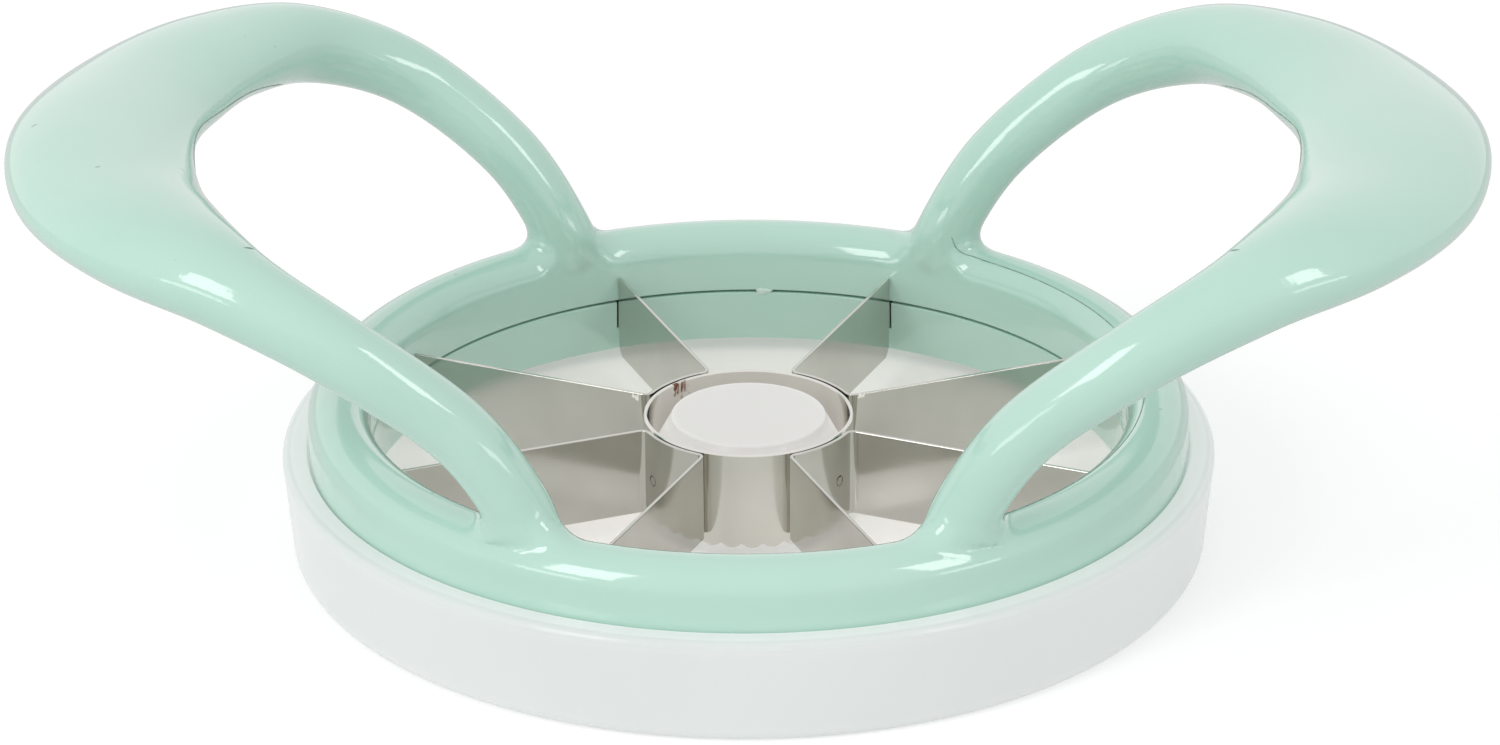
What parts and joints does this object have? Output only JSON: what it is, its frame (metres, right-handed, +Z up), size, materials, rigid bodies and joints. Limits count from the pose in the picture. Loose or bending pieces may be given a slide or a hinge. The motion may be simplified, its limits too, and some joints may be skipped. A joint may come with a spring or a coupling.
{
  "type": "apple slicer",
  "caption": "Hand-pressed apple slicer and corer with looped handles and radial blades, resting in a shallow round tray.",
  "frame": {"origin": "centre of the tray's underside, on the surface that it stands on", "axes": "+Z up along the core ring's axis, the handles reach out along +X and -X"},
  "size_m": [0.174, 0.1124, 0.0555],
  "materials": {
    "frosted_tray": "frosted, slightly translucent white moulding",
    "mint_gloss": "smooth glossy mint green",
    "blade_steel": "cold-rolled stainless strip, semi-bright",
    "screw_steel": "plated steel"
  },
  "bodies": {
    "tray": {"base_tray": "frosted_tray"},
    "slicer": {"handle_frame": "mint_gloss", "retainer_ring": "mint_gloss", "core_ring": "blade_steel", "blade_strip_1": "blade_steel", "blade_strip_2": "blade_steel", "blade_strip_3": "blade_steel", "blade_strip_4": "blade_steel", "retainer_screw_1": "screw_steel", "retainer_screw_2": "screw_steel", "retainer_screw_3": "screw_steel", "retainer_screw_4": "screw_steel"}
  },
  "joints": [
    {"name": "lift_off", "type": "slide", "parent": "tray", "child": "slicer", "axis": [0, 0, 1], "range_m": [0, 0.06]}
  ]
}
